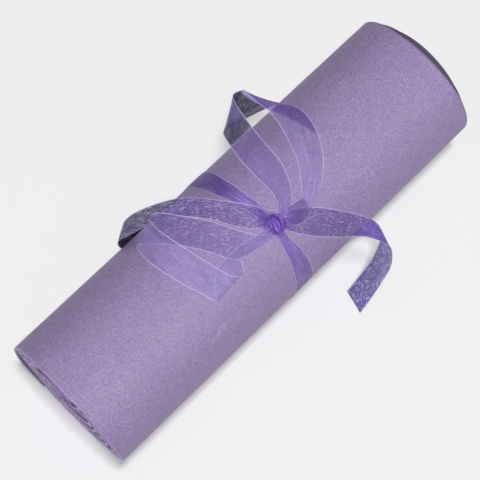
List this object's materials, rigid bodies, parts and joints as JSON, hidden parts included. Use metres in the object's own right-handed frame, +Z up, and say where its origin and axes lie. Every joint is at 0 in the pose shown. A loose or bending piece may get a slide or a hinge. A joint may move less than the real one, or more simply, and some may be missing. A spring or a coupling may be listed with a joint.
{
  "type": "roll of felt",
  "caption": "Roll of craft felt lying on its side, tied round the middle with sheer ribbon in a bow with loops and free ends.",
  "frame": {"origin": "on the surface, in the roll's flat foot, under the middle of its length and width", "axes": "+X along the roll, +Z up, -Y the side that the knot leans to and the longer tail hangs over"},
  "size_m": [0.45, 0.2062, 0.1565],
  "materials": {
    "felt": "matte fibrous nonwoven",
    "organza": "sheer crisp weave with a slight sheen"
  },
  "bodies": {
    "root": {"felt_roll": "felt", "ribbon": "organza"}
  },
  "joints": []
}
